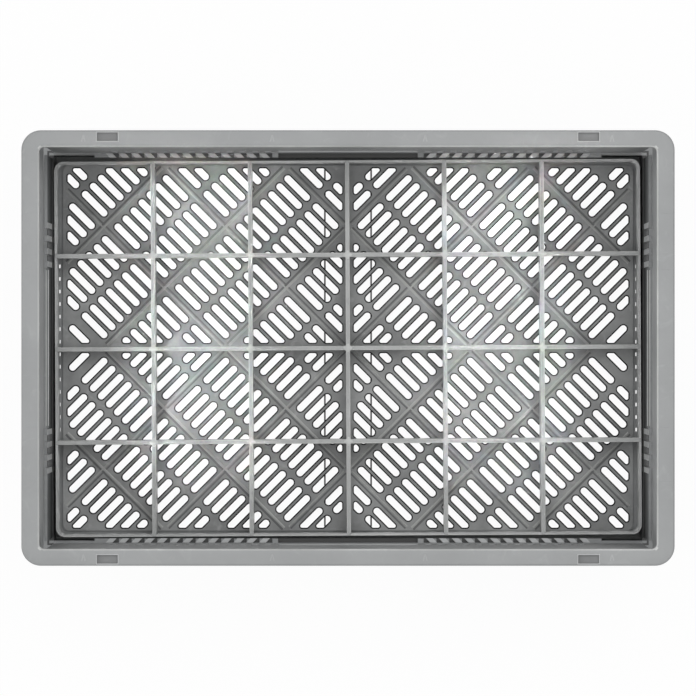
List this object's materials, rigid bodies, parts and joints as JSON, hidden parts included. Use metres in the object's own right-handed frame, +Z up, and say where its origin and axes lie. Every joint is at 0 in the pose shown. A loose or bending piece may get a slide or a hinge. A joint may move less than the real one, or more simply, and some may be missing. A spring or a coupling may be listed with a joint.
{
  "type": "collapsible storage crate",
  "caption": "Folding storage crate with a stacking rim, slatted folding walls, end flaps, a diagonally slotted floor and a lift-out divider grid.",
  "frame": {"origin": "middle of the crate at the surface it stands on", "axes": "+X along the length, +Y across the width towards the back wall, +Z up"},
  "size_m": [0.6, 0.4, 0.21],
  "materials": {
    "frame": "satin",
    "walls": "satin",
    "base": "satin",
    "floor": "satin",
    "dividers": "gloss",
    "rods": "satin"
  },
  "bodies": {
    "base": {"base_frame": "base", "floor_panel": "floor", "front_bottom_rod": "rods", "back_bottom_rod": "rods", "left_end_rod": "rods", "right_end_rod": "rods"},
    "front_lower": {"front_lower_panel": "walls", "front_middle_rod": "rods"},
    "front_upper": {"front_upper_panel": "walls"},
    "frame": {"top_frame": "frame", "front_top_rod": "rods", "back_top_rod": "rods"},
    "back_lower": {"back_lower_panel": "walls", "back_middle_rod": "rods"},
    "back_upper": {"back_upper_panel": "walls"},
    "left_end": {"left_end_flap": "walls"},
    "right_end": {"right_end_flap": "walls"},
    "dividers": {"front_hoop_side": "dividers", "back_hoop_side": "dividers", "left_hoop_side": "dividers", "right_hoop_side": "dividers", "long_strip_1": "dividers", "long_strip_2": "dividers", "long_strip_3": "dividers", "cross_strip_1": "dividers", "cross_strip_2": "dividers", "cross_strip_3": "dividers", "cross_strip_4": "dividers", "cross_strip_5": "dividers"}
  },
  "joints": [
    {"name": "fold", "type": "hinge", "parent": "base", "child": "front_lower", "pos_m": [0, -0.1884, 0.0592], "axis": [-1, 0, 0], "range_deg": [0, 90]},
    {"name": "front_middle", "type": "hinge", "parent": "front_lower", "child": "front_upper", "pos_m": [0, -0.1922, 0.1286], "axis": [1, 0, 0], "range_deg": [0, 180]},
    {"name": "frame_level", "type": "hinge", "parent": "front_upper", "child": "frame", "pos_m": [0, -0.1884, 0.198], "axis": [-1, 0, 0], "range_deg": [0, 90]},
    {"name": "back_fold", "type": "hinge", "parent": "base", "child": "back_lower", "pos_m": [0, 0.1884, 0.0592], "axis": [1, 0, 0], "range_deg": [0, 90]},
    {"name": "back_middle", "type": "hinge", "parent": "back_lower", "child": "back_upper", "pos_m": [0, 0.1922, 0.1286], "axis": [-1, 0, 0], "range_deg": [0, 180]},
    {"name": "left_flap", "type": "hinge", "parent": "base", "child": "left_end", "pos_m": [-0.281, 0, 0.0528], "axis": [0, 1, 0], "range_deg": [0, 90]},
    {"name": "right_flap", "type": "hinge", "parent": "base", "child": "right_end", "pos_m": [0.281, 0, 0.0528], "axis": [0, -1, 0], "range_deg": [0, 90]},
    {"name": "divider_lift", "type": "slide", "parent": "base", "child": "dividers", "axis": [0, 0, 1], "range_m": [0, 0.3]}
  ],
  "couplings": [
    {"joint": "front_middle", "follows": "fold", "ratio": 2},
    {"joint": "frame_level", "follows": "fold", "ratio": 1},
    {"joint": "back_fold", "follows": "fold", "ratio": 1},
    {"joint": "back_middle", "follows": "fold", "ratio": 2}
  ]
}
